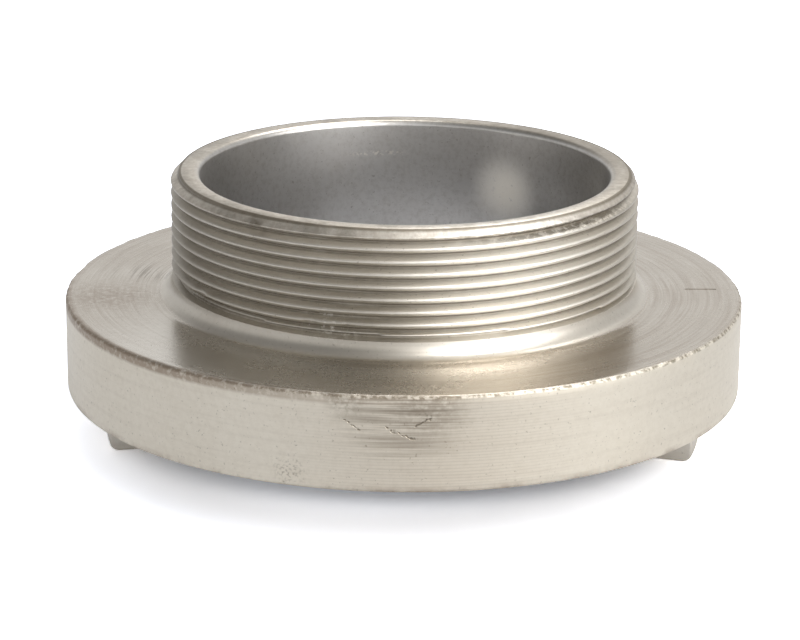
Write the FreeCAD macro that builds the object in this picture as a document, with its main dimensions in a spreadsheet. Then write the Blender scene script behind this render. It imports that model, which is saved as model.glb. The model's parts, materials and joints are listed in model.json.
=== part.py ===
"""Fixed half of a two-lug quarter turn fire hose coupling, 75 mm size, with a male 3 inch pipe thread.

The origin is at the bottom centre, between the feet of the two lugs. +Z runs up the waterway towards the
threaded end, and the lugs stand on the X axis. Lengths are millimetres and angles are degrees.
"""
import FreeCAD, Part
import Sketcher
import os

SIZES = [
    ("thread_diameter", 87.884, "over the crests of the 3 inch pipe thread"),
    ("thread_end_chamfer", 1.6, "start of the thread"),
    ("collar_wall", 5.442, "between the waterway and the thread's crests"),
    ("collar_height", 23.4, "collar above the disc"),
    ("mouth_bevel", 0.9, "edge of the waterway at the threaded end"),
    ("foot_radius", 3.2, "fillet between the collar and the disc"),
    ("relief_width", 1.4, "groove where the thread runs out"),
    ("relief_depth", 1.3, "groove where the thread runs out"),
    ("seal_land", 2.7, "width of the step behind the sealing ring"),
    ("seal_shoulder", 1.2, "how far the hub's inner edge stands in front of the sealing ring's foot"),
    ("seal_shoulder_depth", 2.6, "thickness of that edge"),
    ("seal_seat_depth", 7.5, "seat of the sealing ring, from the hub's face"),
    ("hub_wall", 1.6, "hub outside the sealing ring"),
    ("hub_bevel", 0.5, "outer edge of the hub's face"),
    ("hub_gap", 0.5, "between a hub and the lug of the other half"),
    ("lug_stem", 6, "radial thickness of a lug above its hook"),
    ("lug_arc", 31, "width of a lug around the axis, in degrees"),
    ("hook_overhang", 6.3, "how far the hook stands out of the stem"),
    ("hook_height", 5, "thickness of the hook along the axis"),
    ("hook_round", 2.5, "outer corner of the hook"),
    ("lip_room", 6.2, "between the hook and the rim's face, where the other half's lip goes"),
    ("lip_gap", 0.6, "between a lug's stem and the lip that passes it"),
    ("lip_thickness", 4.2, "lip beside the entry, where its ramp starts"),
    ("ramp_rise", 1.4, "what the ramp adds to the lip"),
    ("ramp_arc", 84, "length of the ramp around the axis, in degrees"),
    ("ramp_land", 0.5, "plain edge of the lip inside the ramp"),
    ("entry_arc", 38, "width of a lug entry around the axis, in degrees"),
    ("entry_turn", 43, "from a lug's middle to the middle of the entry beside it, in degrees"),
    ("hook_room", 6.4, "between the ramp's top and the channel's floor, where the other half's hook goes"),
    ("channel_gap", 0.5, "between the rim's inside and the other half's hook"),
    ("rim_wall", 6.7, "rim outside the lug channel"),
    ("rim_back_bevel", 0.7, "worn edge between the disc and the rim's side"),
    ("rim_face_bevel", 0.5, "edge between the rim's side and its face"),
    ("back_plate", 5.5, "disc between the lug channel and the collar side"),
    ("seal_gap", 0.1, "between the sealing ring and its seat"),
    ("seal_proud", 0.8, "how far the sealing ring stands out of the hub"),
    ("seal_inset", 0.5, "how far the sealing ring stays back from the waterway"),
    ("seal_bevel", 0.5, "edges of the sealing ring's face"),
    ("mark_offset", 9.6, "from the thread's crests to the line cut in the disc"),
    ("mark_length", 6, "line cut in the disc"),
    ("mark_width", 0.7, "line cut in the disc"),
    ("mark_depth", 0.35, "line cut in the disc"),
    ("mark_turn", 2.7, "place of the line around the axis, in degrees"),
    ("dent_depth", 0.7, "knock in the rim's back edge"),
    ("dent_radius", 25, "roundness of a knock"),
    ("first_dent_turn", 156, "place of the first knock around the axis, in degrees"),
    ("dent_spacing", 15, "between the two knocks, in degrees"),
]

# Radii, from the waterway outwards
THREAD_RADIUS = "Sizes.thread_diameter / 2"
BORE_RADIUS = THREAD_RADIUS + " - Sizes.collar_wall"
SHOULDER_RADIUS = BORE_RADIUS + " + Sizes.seal_land"
SEAT_RADIUS = SHOULDER_RADIUS + " + Sizes.seal_shoulder"
HUB_RADIUS = SEAT_RADIUS + " + Sizes.hub_wall"
LUG_INSIDE = HUB_RADIUS + " + Sizes.hub_gap"
STEM_RADIUS = LUG_INSIDE + " + Sizes.lug_stem"
LIP_RADIUS = STEM_RADIUS + " + Sizes.lip_gap"
LUG_OUTSIDE = STEM_RADIUS + " + Sizes.hook_overhang"
CHANNEL_RADIUS = LUG_OUTSIDE + " + Sizes.channel_gap"
RIM_RADIUS = CHANNEL_RADIUS + " + Sizes.rim_wall"
RELIEF_FLOOR = THREAD_RADIUS + " - Sizes.relief_depth"
SEAL_BORE = BORE_RADIUS + " + Sizes.seal_inset"
SEAL_NECK = SHOULDER_RADIUS + " - Sizes.seal_gap"
SEAL_FOOT = SEAT_RADIUS + " - Sizes.seal_gap"

# Heights, from the lugs' feet upwards
FEET = "0"
HOOK_TOP = "Sizes.hook_height"
RIM_FACE = HOOK_TOP + " + Sizes.lip_room"
SEAL_FACE = RIM_FACE + " - Sizes.seal_proud"
SHOULDER_TOP = RIM_FACE + " + Sizes.seal_shoulder_depth"
SEAT_TOP = RIM_FACE + " + Sizes.seal_seat_depth"
LIP_TOP = RIM_FACE + " + Sizes.lip_thickness"
CHANNEL_FLOOR = LIP_TOP + " + Sizes.ramp_rise + Sizes.hook_room"
DISC_BACK = CHANNEL_FLOOR + " + Sizes.back_plate"
RELIEF_START = DISC_BACK + " + Sizes.foot_radius"
RELIEF_END = RELIEF_START + " + Sizes.relief_width"
COLLAR_END = DISC_BACK + " + Sizes.collar_height"

# How far a cut runs past a face, or an added piece into the body that carries it
OVERRUN = 1
# How far the ramp starts below the lip, so that it comes out of it at a clean line
RAMP_SINK = 0.1


def plane(body, role):
    """One of the body's own origin planes or axes."""
    return next(item for item in body.Origin.OriginFeatures if item.Role == role)


def new_body(name):
    """A body whose label names its file."""
    body = doc.addObject("PartDesign::Body", name)
    body.Label = name
    return body


def new_sketch(body, name, role, turn=None, height=None):
    """A sketch on an origin plane, turned about the waterway's axis or lifted along it if asked."""
    sketch = body.newObject("Sketcher::SketchObject", name)
    sketch.AttachmentSupport = (plane(body, role), [""])
    sketch.MapMode = "FlatFace"
    if turn:
        axis = FreeCAD.Vector(0, 1, 0) if role == "XZ_Plane" else FreeCAD.Vector(0, 0, 1)
        sketch.AttachmentOffset = FreeCAD.Placement(FreeCAD.Vector(), FreeCAD.Rotation(axis, 1))
        sketch.setExpression("AttachmentOffset.Rotation.Angle", turn)
    if height:
        sketch.setExpression("AttachmentOffset.Base.z", height)
    return sketch


def draw_outline(sketch, corners):
    """A closed outline of straight lines whose corners are held at expressions in the sheet's sizes."""
    points = [FreeCAD.Vector(read(across), read(along), 0) for across, along in corners]
    count = len(points)
    for i in range(count):
        sketch.addGeometry(Part.LineSegment(points[i], points[(i + 1) % count]), False)
    for i, (across, along) in enumerate(corners):
        sketch.addConstraint(Sketcher.Constraint("Coincident", (i - 1) % count, 2, i, 1))
        hold = sketch.addConstraint(Sketcher.Constraint("DistanceX", -1, 1, i, 1, points[i].x))
        sketch.setExpression("Constraints[%d]" % hold, across)
        hold = sketch.addConstraint(Sketcher.Constraint("DistanceY", -1, 1, i, 1, points[i].y))
        sketch.setExpression("Constraints[%d]" % hold, along)


def read(expression):
    """The present value of an expression in the sheet's sizes."""
    return float(sheet.evalExpression(str(expression)))


def revolve(body, kind, name, corners, arc=None, turn=None):
    """A section turned about the waterway's axis: all the way, or evenly to both sides of its plane."""
    sketch = new_sketch(body, name + "_section", "XZ_Plane", turn)
    draw_outline(sketch, corners)
    feature = body.newObject("PartDesign::" + kind, name)
    feature.Profile = sketch
    feature.ReferenceAxis = (sketch, ["V_Axis"])
    if arc:
        feature.Midplane = True
        feature.setExpression("Angle", arc)
    doc.recompute()
    return feature


def pattern_twice(body, name, features):
    """The same features again on the other side of the waterway."""
    pattern = body.newObject("PartDesign::PolarPattern", name)
    pattern.Originals = features
    pattern.Axis = (plane(body, "Z_Axis"), [""])
    pattern.Angle = 360
    pattern.Occurrences = 2
    body.Tip = pattern
    doc.recompute()
    return pattern


def ring_edges(shape, radius, height):
    """Names of the edges that run around the waterway's axis at a radius and a height."""
    names = []
    for i, edge in enumerate(shape.Edges, 1):
        curve = edge.Curve
        if not isinstance(curve, Part.Circle):
            continue
        if abs(curve.Radius - read(radius)) < 1e-4 and abs(curve.Center.z - read(height)) < 1e-4:
            names.append("Edge%d" % i)
    return names


def dress_edges(body, kind, name, size, places):
    """A Fillet or Chamfer on the edges around the axis at the given radii and heights."""
    base = body.Tip
    names = [edge for radius, height in places for edge in ring_edges(base.Shape, radius, height)]
    feature = body.newObject("PartDesign::" + kind, name)
    feature.Base = (base, names)
    feature.setExpression("Radius" if kind == "Fillet" else "Size", size)
    body.Tip = feature
    doc.recompute()
    return feature


def turn_body(body):
    """The rim with its lug channel and hub, the disc and the collar, as the lathe leaves them."""
    revolve(body, "Revolution", "turned_form", [
        (BORE_RADIUS, SEAT_TOP),
        (SEAT_RADIUS, SEAT_TOP),
        (SEAT_RADIUS, SHOULDER_TOP),
        (SHOULDER_RADIUS, SHOULDER_TOP),
        (SHOULDER_RADIUS, RIM_FACE),
        (HUB_RADIUS, RIM_FACE),
        (HUB_RADIUS, CHANNEL_FLOOR),
        (CHANNEL_RADIUS, CHANNEL_FLOOR),
        (CHANNEL_RADIUS, LIP_TOP),
        (LIP_RADIUS, LIP_TOP),
        (LIP_RADIUS, RIM_FACE),
        (RIM_RADIUS, RIM_FACE),
        (RIM_RADIUS, DISC_BACK),
        (THREAD_RADIUS, DISC_BACK),
        (THREAD_RADIUS, COLLAR_END),
        (BORE_RADIUS, COLLAR_END),
    ])


def add_ramp(body):
    """Helical ramp on the channel side of the lip, which draws the other half's lug in as it turns."""
    start = "Sizes.entry_turn + Sizes.entry_arc / 2"
    sketch = new_sketch(body, "ramp_section", "XZ_Plane", start)
    draw_outline(sketch, [
        (LIP_RADIUS + " + Sizes.ramp_land", RIM_FACE + " + %g" % OVERRUN),
        (CHANNEL_RADIUS + " + %g" % OVERRUN, RIM_FACE + " + %g" % OVERRUN),
        (CHANNEL_RADIUS + " + %g" % OVERRUN, LIP_TOP + " - %g" % RAMP_SINK),
        (LIP_RADIUS + " + Sizes.ramp_land", LIP_TOP + " - %g" % RAMP_SINK),
    ])
    ramp = body.newObject("PartDesign::AdditiveHelix", "ramp")
    ramp.Profile = sketch
    ramp.ReferenceAxis = (sketch, ["V_Axis"])
    ramp.Mode = "pitch-height-angle"
    ramp.setExpression("Height", "Sizes.ramp_rise + %g" % RAMP_SINK)
    ramp.setExpression("Pitch", "(Sizes.ramp_rise + %g) * 360 / Sizes.ramp_arc" % RAMP_SINK)
    doc.recompute()
    return ramp


def cut_entry(body):
    """Gap in the lip that lets the other half's lug into the channel."""
    return revolve(body, "Groove", "entry", [
        (LIP_RADIUS + " - %g" % OVERRUN, RIM_FACE + " - %g" % OVERRUN),
        (CHANNEL_RADIUS, RIM_FACE + " - %g" % OVERRUN),
        (CHANNEL_RADIUS, CHANNEL_FLOOR + " - %g" % OVERRUN),
        (LIP_RADIUS + " - %g" % OVERRUN, CHANNEL_FLOOR + " - %g" % OVERRUN),
    ], "Sizes.entry_arc", "Sizes.entry_turn")


def add_lug(body):
    """Lug on the hub's side that crosses the channel, stands out of the face and hooks outwards."""
    return revolve(body, "Revolution", "lug", [
        (LUG_INSIDE, FEET),
        (LUG_OUTSIDE, FEET),
        (LUG_OUTSIDE, HOOK_TOP),
        (STEM_RADIUS, HOOK_TOP),
        (STEM_RADIUS, CHANNEL_FLOOR + " + %g" % OVERRUN),
        (HUB_RADIUS, CHANNEL_FLOOR + " + %g" % OVERRUN),
        (HUB_RADIUS, RIM_FACE),
        (LUG_INSIDE, RIM_FACE),
    ], "Sizes.lug_arc")


def cut_relief(body):
    """Groove at the collar's foot where the thread runs out."""
    return revolve(body, "Groove", "thread_relief", [
        (RELIEF_FLOOR, RELIEF_START + " + Sizes.relief_width / 4"),
        (THREAD_RADIUS + " + %g" % OVERRUN, RELIEF_START),
        (THREAD_RADIUS + " + %g" % OVERRUN, RELIEF_END),
        (RELIEF_FLOOR, RELIEF_START + " + Sizes.relief_width * 3 / 4"),
    ])


def cut_mark(body):
    """Short line cut along a radius in the disc's back."""
    start = THREAD_RADIUS + " + Sizes.mark_offset"
    sketch = new_sketch(body, "mark_outline", "XY_Plane", "Sizes.mark_turn", DISC_BACK)
    draw_outline(sketch, [
        (start, "-Sizes.mark_width / 2"),
        (start + " + Sizes.mark_length", "-Sizes.mark_width / 2"),
        (start + " + Sizes.mark_length", "Sizes.mark_width / 2"),
        (start, "Sizes.mark_width / 2"),
    ])
    mark = body.newObject("PartDesign::Pocket", "mark")
    mark.Profile = sketch
    mark.setExpression("Length", "Sizes.mark_depth")
    doc.recompute()


def knock_dent(body, name, turn):
    """Round hollow knocked into the rim's back edge."""
    dent = body.newObject("PartDesign::SubtractiveSphere", name)
    reach = "(%s - Sizes.dent_depth + Sizes.dent_radius)" % RIM_RADIUS
    dent.setExpression("Radius", "Sizes.dent_radius")
    dent.setExpression("Placement.Base.x", "%s * cos((%s) * 1 deg)" % (reach, turn))
    dent.setExpression("Placement.Base.y", "%s * sin((%s) * 1 deg)" % (reach, turn))
    dent.setExpression("Placement.Base.z", DISC_BACK)
    body.Tip = dent
    doc.recompute()


def make_coupling_body():
    """The coupling's one casting, turned, with its lip, lugs, thread collar and marks of use."""
    body = new_body("coupling_body")
    turn_body(body)
    ramp = add_ramp(body)
    entry = cut_entry(body)
    pattern_twice(body, "ramps_and_entries", [ramp, entry])
    lug = add_lug(body)
    pattern_twice(body, "lugs", [lug])
    cut_relief(body)
    dress_edges(body, "Fillet", "collar_foot", "Sizes.foot_radius", [(THREAD_RADIUS, DISC_BACK)])
    dress_edges(body, "Fillet", "hook_corners", "Sizes.hook_round", [(LUG_OUTSIDE, FEET)])
    dress_edges(body, "Chamfer", "hub_edge", "Sizes.hub_bevel", [(HUB_RADIUS, RIM_FACE)])
    dress_edges(body, "Chamfer", "rim_face_edge", "Sizes.rim_face_bevel", [(RIM_RADIUS, RIM_FACE)])
    dress_edges(body, "Chamfer", "rim_back_edge", "Sizes.rim_back_bevel", [(RIM_RADIUS, DISC_BACK)])
    dress_edges(body, "Chamfer", "thread_start", "Sizes.thread_end_chamfer", [(THREAD_RADIUS, COLLAR_END)])
    dress_edges(body, "Chamfer", "waterway_mouth", "Sizes.mouth_bevel", [(BORE_RADIUS, COLLAR_END)])
    cut_mark(body)
    knock_dent(body, "first_dent", "Sizes.first_dent_turn")
    knock_dent(body, "second_dent", "Sizes.first_dent_turn + Sizes.dent_spacing")
    return body


def make_sealing_ring():
    """Rubber ring: a broad foot held in the undercut of the hub, and a neck that stands out of its face."""
    body = new_body("sealing_ring")
    revolve(body, "Revolution", "ring", [
        (SEAL_BORE, SEAL_FACE),
        (SEAL_NECK, SEAL_FACE),
        (SEAL_NECK, SHOULDER_TOP + " + Sizes.seal_gap"),
        (SEAL_FOOT, SHOULDER_TOP + " + Sizes.seal_gap"),
        (SEAL_FOOT, SEAT_TOP),
        (SEAL_BORE, SEAT_TOP),
    ])
    places = [(SEAL_BORE, SEAL_FACE), (SEAL_NECK, SEAL_FACE)]
    dress_edges(body, "Chamfer", "face_edges", "Sizes.seal_bevel", places)
    return body


def check_document():
    """Stop if any object of the document failed to build."""
    for item in doc.Objects:
        if "Invalid" in item.State or "Error" in item.State:
            raise RuntimeError("%s failed: %s" % (item.Name, item.State))


def export(body):
    """Check a body's shape and write it to the file that its label names."""
    shape = body.Shape
    if shape.isNull() or not shape.isValid() or len(shape.Solids) != 1:
        raise RuntimeError(body.Label + " isn't one valid solid")
    shape.exportStep("parts/%s.step" % body.Label)
    print(body.Label, "volume %.0f mm3" % shape.Volume, shape.BoundBox)


doc = FreeCAD.newDocument("quarter_turn_coupling")
sheet = doc.addObject("Spreadsheet::Sheet", "Sizes")
for row, (alias, size, note) in enumerate(SIZES, 1):
    sheet.set("A%d" % row, alias)
    sheet.set("B%d" % row, str(size))
    sheet.setAlias("B%d" % row, alias)
    sheet.set("C%d" % row, note)
doc.recompute()

bodies = [make_coupling_body(), make_sealing_ring()]
doc.recompute()
check_document()
os.makedirs("parts", exist_ok=True)
for item in bodies:
    export(item)
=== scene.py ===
"""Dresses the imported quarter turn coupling: its turned aluminium body with the cut pipe thread and the
marks of use, and its rubber sealing ring, on a pale studio floor.

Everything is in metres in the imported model's own frame: the lugs' feet stand on z = 0, +Z runs up the
waterway to the threaded end, and the lugs stand on the X axis. Azimuths turn from +X towards +Y.
"""
import json
import math
from functools import partial

import bmesh
import bpy
from bpy.props import FloatProperty, IntProperty, PointerProperty, StringProperty
from mathutils import Matrix, Vector, noise


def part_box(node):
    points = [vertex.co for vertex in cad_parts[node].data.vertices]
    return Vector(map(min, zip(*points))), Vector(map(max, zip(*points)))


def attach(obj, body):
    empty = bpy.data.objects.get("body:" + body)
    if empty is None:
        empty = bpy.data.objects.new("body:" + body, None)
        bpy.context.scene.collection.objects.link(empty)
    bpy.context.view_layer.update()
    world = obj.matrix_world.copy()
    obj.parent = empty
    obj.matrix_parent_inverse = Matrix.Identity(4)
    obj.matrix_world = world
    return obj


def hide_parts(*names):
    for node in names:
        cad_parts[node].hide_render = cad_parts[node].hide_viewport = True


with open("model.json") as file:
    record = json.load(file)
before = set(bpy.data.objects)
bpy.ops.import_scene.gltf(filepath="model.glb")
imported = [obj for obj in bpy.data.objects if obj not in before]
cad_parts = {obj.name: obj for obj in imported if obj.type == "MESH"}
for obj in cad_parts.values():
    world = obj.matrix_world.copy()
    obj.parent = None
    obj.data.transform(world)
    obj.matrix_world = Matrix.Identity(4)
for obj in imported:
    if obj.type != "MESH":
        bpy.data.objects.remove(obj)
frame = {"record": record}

bl_info = {
    "name": "Quarter turn coupling",
    "version": (1, 0, 0),
    "blender": (4, 5, 0),
    "location": "3D View > Sidebar > Coupling",
    "description": "Looks of a two-lug quarter turn fire hose coupling with a pipe thread",
    "category": "Object",
}

MM = 0.001
WELD = 0.03 * MM
MOUNTS = {mount["name"]: mount for mount in frame["record"]["mounts"]}
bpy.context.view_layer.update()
BORE_RADIUS = MOUNTS["waterway_bore"]["dims"]["r_mm"] * MM
CREST_RADIUS = MOUNTS["pipe_thread"]["dims"]["r_mm"] * MM
COLLAR_END = MOUNTS["threaded_end"]["pos_m"][2]
DISC_BACK = MOUNTS["shoulder"]["pos_m"][2]
RIM_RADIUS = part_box("coupling_body")[1].y

# Kinds of node. A ramp takes a value, where it starts and ends, and what it gives at both
MATH = "ShaderNodeMath"
VECTOR = "ShaderNodeVectorMath"
JOIN = "ShaderNodeCombineXYZ"
NOISE = "ShaderNodeTexNoise"
RAMP = "ShaderNodeMapRange"


def length(name, description, default):
    """A size in metres, as Blender's own fields show it."""
    return FloatProperty(name=name, description=description, default=default, unit="LENGTH", precision=5)


def degrees(name, description, turn):
    """An angle, given in degrees and held in radians."""
    return FloatProperty(name=name, description=description, default=math.radians(turn), subtype="ANGLE")


def hex_colour(name, description, code):
    """A colour, as an sRGB hex."""
    return StringProperty(name=name, description=description, default=code)


class ThreadSizes(bpy.types.PropertyGroup):
    """The 3 inch pipe thread of 11 turns to the inch, whose flanks stand at 55 degrees."""
    pitch: length("Pitch", "Height of one turn", 25.4 / 11 * MM)
    depth: length("Depth", "From crest to root", 1.479 * MM)
    rounding: length("Rounding", "How softly the flanks meet crest and root", 0.36 * MM)
    end_chamfer: length("End chamfer", "Start of the thread", 1.6 * MM)
    first_root: length("First root", "Groove below the collar's end at the azimuth below", 2.25 * MM)
    root_azimuth: degrees("Root azimuth", "Where the first root's height is given", -88.3)
    rows: IntProperty(name="Rows", description="Rows of faces in one turn's section", default=12, min=6)


class BodySizes(bpy.types.PropertyGroup):
    """The coupling's one casting."""
    around: IntProperty(name="Around", description="Faces in one turn of the waterway", default=432, min=64)
    patch: length("Patch", "Longest face on the rim and the disc, where marks need room", 1.25 * MM)
    rim_face: length("Rim face", "Height of the coupling's face", 11.2 * MM)
    seal_land: length("Seal land", "Step behind the sealing ring", 2.7 * MM)
    shoulder: length("Seal shoulder", "Edge in front of the sealing ring's foot", 1.2 * MM)
    shoulder_depth: length("Shoulder depth", "Thickness of that edge", 2.6 * MM)
    seat_depth: length("Seat depth", "Seat of the sealing ring", 7.5 * MM)
    hub_radius: length("Hub radius", "Hub outside the sealing ring", 44 * MM)
    channel_floor: length("Channel floor", "Height of the lug channel's floor", 23.2 * MM)
    channel_radius: length("Channel radius", "Outside of the lug channel", 57.3 * MM)
    lip_radius: length("Lip radius", "Inner edge of the lip", 51.1 * MM)
    lip_top: length("Lip top", "Height of the lip's inner side", 15.4 * MM)
    ramp_rise: length("Ramp rise", "What the ramp adds to the lip", 1.4 * MM)
    ramp_land: length("Ramp land", "Plain edge of the lip inside the ramp", 0.5 * MM)
    ramp_arc: degrees("Ramp arc", "Length of a ramp", 84)
    entry_arc: degrees("Entry arc", "Width of a lug entry", 38)
    entry_turn: degrees("Entry turn", "Middle of the first entry", 43)
    lug_arc: degrees("Lug arc", "Width of a lug", 31)
    lug_inside: length("Lug inside", "Inner side of a lug", 44.5 * MM)
    stem_radius: length("Stem radius", "Outside of a lug's stem", 50.5 * MM)
    lug_outside: length("Lug outside", "Outside of a lug's hook", 56.8 * MM)
    hook_height: length("Hook height", "Thickness of the hook", 5 * MM)
    hook_round: length("Hook round", "Outer corner of the hook", 1.8 * MM)
    foot_radius: length("Foot radius", "Fillet between collar and disc", 3.2 * MM)
    relief_width: length("Relief width", "Groove where the thread runs out", 1.4 * MM)
    relief_depth: length("Relief depth", "Groove where the thread runs out", 1.3 * MM)
    edge: length("Edge", "Rounding of the turned edges", 0.5 * MM)
    mark_start: length("Mark start", "Inner end of the line cut in the disc", 53.5 * MM)
    mark_length: length("Mark length", "Line cut in the disc", 6 * MM)
    mark_width: length("Mark width", "Line cut in the disc", 0.7 * MM)
    mark_depth: length("Mark depth", "Line cut in the disc", 0.35 * MM)
    mark_turn: degrees("Mark turn", "Place of the line", 2.7)
    dent_radius: length("Dent radius", "Roundness of a knock in the rim", 25 * MM)
    dent_depth: length("Dent depth", "Knock in the rim's back edge", 0.7 * MM)
    first_dent: degrees("First dent", "Place of a knock", 156)
    second_dent: degrees("Second dent", "Place of a knock", 171)


class SealSizes(bpy.types.PropertyGroup):
    """The rubber ring in the coupling's face."""
    around: IntProperty(name="Around", description="Faces in one turn of the ring", default=256, min=64)
    inset: length("Inset", "Back from the waterway", 0.5 * MM)
    gap: length("Gap", "Between the ring and its seat", 0.1 * MM)
    proud: length("Proud", "How far it stands out of the hub", 0.8 * MM)
    edge: length("Edge", "Rounding of its edges", 0.5 * MM)


class StageSettings(bpy.types.PropertyGroup):
    """Camera, floor and light."""
    distance: length("Distance", "From the camera to the middle of the collar's foot", 567.9 * MM)
    azimuth: degrees("Azimuth", "Where the camera stands around the coupling", -88.3)
    elevation: degrees("Elevation", "Of the camera above the disc", 16.75)
    roll: degrees("Roll", "Of the camera about its own axis", -0.5)
    aim_across: length("Aim across", "What the camera looks at, right of the axis", -0.68 * MM)
    aim_down: length("Aim down", "What the camera looks at, below the disc's back", 6.39 * MM)
    lens: FloatProperty(name="Lens", description="Focal length on a 36 mm sensor", default=134.3)
    floor_size: length("Floor size", "Side of the square floor", 12)
    floor_colour: hex_colour("Floor colour", "Pale painted board", "#ECEFF6")


class FinishColours(bpy.types.PropertyGroup):
    """Colours of the finishes, and of painted shade and highlights, as sRGB hex."""
    aluminium: hex_colour("Aluminium", "Turned aluminium, bare and dulled", "#CFC9BE")
    weathered: hex_colour("Weathered", "Aluminium with a warm bloom", "#D5CDBD")
    # Scuffed aluminium, and also the colour of the painted highlights on the collar and in the bore and of
    # the disc's brightened reflection
    scuffed_and_highlight: hex_colour("Scuffed", "Aluminium where it was lately rubbed", "#E6E2DA")
    waterway: hex_colour("Waterway", "Bore, cooler than the rest", "#C8C6C3")
    # Grime, and also the colour of the painted shade on the thread's sides and on the neck's fillet
    grime_and_shade: hex_colour("Grime", "Old oil and dust in grooves", "#6A6152")
    oxide: hex_colour("Oxide", "Brown-grey oxide on worn edges", "#978878")
    rubber: hex_colour("Rubber", "Sealing ring", "#1B1B1C")
    dust: hex_colour("Dust", "Dust on the rubber", "#57534C")


def srgb(code):
    """An sRGB hex as Blender's linear colour."""
    shares = [int(code[i:i + 2], 16) / 255 for i in (1, 3, 5)]
    return [s / 12.92 if s <= 0.04045 else ((s + 0.055) / 1.055) ** 2.4 for s in shares] + [1]


def add_node(tree, kind, inputs=(), output=None, **settings):
    """Adds a node with its settings, sets or links its inputs by place or name, and returns an output."""
    made = tree.nodes.new(kind)
    for name, value in settings.items():
        setattr(made, name, value)
    sockets = [socket for socket in made.inputs if socket.enabled]
    for key, value in (inputs.items() if isinstance(inputs, dict) else enumerate(inputs)):
        socket = sockets[key] if isinstance(key, int) else next(s for s in sockets if s.name == key)
        if isinstance(value, bpy.types.NodeSocket):
            tree.links.new(value, socket)
        else:
            socket.default_value = value
    shown = [socket for socket in made.outputs if socket.enabled]
    if not shown:
        return made
    return shown[0] if output is None else next(s for s in shown if s.name == output)


# Meshes

def object_from(name, work):
    """An object at the origin with a mesh made of a bmesh, which is used up."""
    mesh = bpy.data.meshes.new(name)
    work.to_mesh(mesh)
    work.free()
    made = bpy.data.objects.new(name, mesh)
    bpy.context.scene.collection.objects.link(made)
    return made


def take_modifiers(piece):
    """The piece's evaluated mesh becomes its own, and its modifiers go."""
    graph = bpy.context.evaluated_depsgraph_get()
    finished = bpy.data.meshes.new_from_object(piece.evaluated_get(graph))
    piece.modifiers.clear()
    piece.data = finished


# Rounded corners are cut in steps of so long or so much turn, but two at least
ARC_STEP = 0.3 * MM
ARC_TURN = math.radians(12)

# Outside of this radius and above this height the rim and the disc carry marks that need fine faces
MARKED_RADIUS = 60 * MM
MARKED_HEIGHT = 11 * MM


def rounded(corners):
    """The points of an outline whose corners (radius, height, rounding) are arcs, but for its ends."""
    points = []
    last = len(corners) - 1
    for i, (across, up, rounding) in enumerate(corners):
        corner = Vector((across, up))
        if rounding == 0 or i in (0, last):
            points.append(corner)
            continue
        back = (Vector(corners[i - 1][:2]) - corner).normalized()
        on = (Vector(corners[i + 1][:2]) - corner).normalized()
        half = back.angle(on) / 2
        centre = corner + (back + on).normalized() * rounding / math.sin(half)
        start = corner + back * rounding / math.tan(half) - centre
        turn = start.angle_signed(corner + on * rounding / math.tan(half) - centre)
        finest = math.ceil(abs(turn) / ARC_TURN)
        steps = min(finest, max(2, math.ceil(rounding * abs(turn) / ARC_STEP)))
        points += [centre + Matrix.Rotation(-turn * k / steps, 2) @ start for k in range(steps + 1)]
    return points


def split_long(points, longest):
    """The same outline with no stretch longer than that on the disc and the rim, outside the lug channel."""
    result = [points[0]]
    for a, b in zip(points, points[1:]):
        low, inner, outer = min(a.y, b.y), min(a.x, b.x), max(a.x, b.x)
        marked = low > MARKED_HEIGHT and inner > CREST_RADIUS - 2 * MM and outer > MARKED_RADIUS
        steps = math.ceil((b - a).length / longest) if marked else 1
        result += [a.lerp(b, k / steps) for k in range(1, steps + 1)]
    return result


def turn_outline(work, points, around):
    """Rings of faces around the Z axis between the points of an outline."""
    rings = []
    for point in points:
        ring = []
        for k in range(around):
            angle = math.tau * k / around
            ring.append(work.verts.new((point.x * math.cos(angle), point.x * math.sin(angle), point.y)))
        rings.append(ring)
    for low, high in zip(rings, rings[1:]):
        for k in range(around):
            work.faces.new((low[k], low[k - 1], high[k - 1], high[k]))


def swept_block(name, outline, start, end, step=math.radians(0.75)):
    """A block whose outline, given for each share of the way, runs around the Z axis between two azimuths."""
    work = bmesh.new()
    steps = math.ceil((end - start) / step)
    rings = []
    for k in range(steps + 1):
        angle = start + (end - start) * k / steps
        rings.append([
            work.verts.new((across * math.cos(angle), across * math.sin(angle), up))
            for across, up in outline(k / steps)
        ])
    for low, high in zip(rings, rings[1:]):
        for i in range(len(low)):
            work.faces.new((low[i - 1], low[i], high[i], high[i - 1]))
    work.faces.new(rings[0])
    work.faces.new(list(reversed(rings[-1])))
    bmesh.ops.recalc_face_normals(work, faces=work.faces)
    return object_from(name, work)


def combine(piece, tool, operation):
    """Joins a tool to a piece or cuts it away, and deletes the tool."""
    cut = piece.modifiers.new("combine", "BOOLEAN")
    cut.object = tool
    cut.operation = operation
    cut.solver = "MANIFOLD"
    take_modifiers(piece)
    bpy.data.objects.remove(tool)


def check_closed(mesh):
    """Stops the script if an edge of the mesh isn't shared by exactly two faces."""
    work = bmesh.new()
    work.from_mesh(mesh)
    open_edges = sum(1 for edge in work.edges if len(edge.link_faces) != 2)
    work.free()
    if open_edges:
        raise RuntimeError(f"{mesh.name} has {open_edges} open edges")


# Thread

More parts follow.
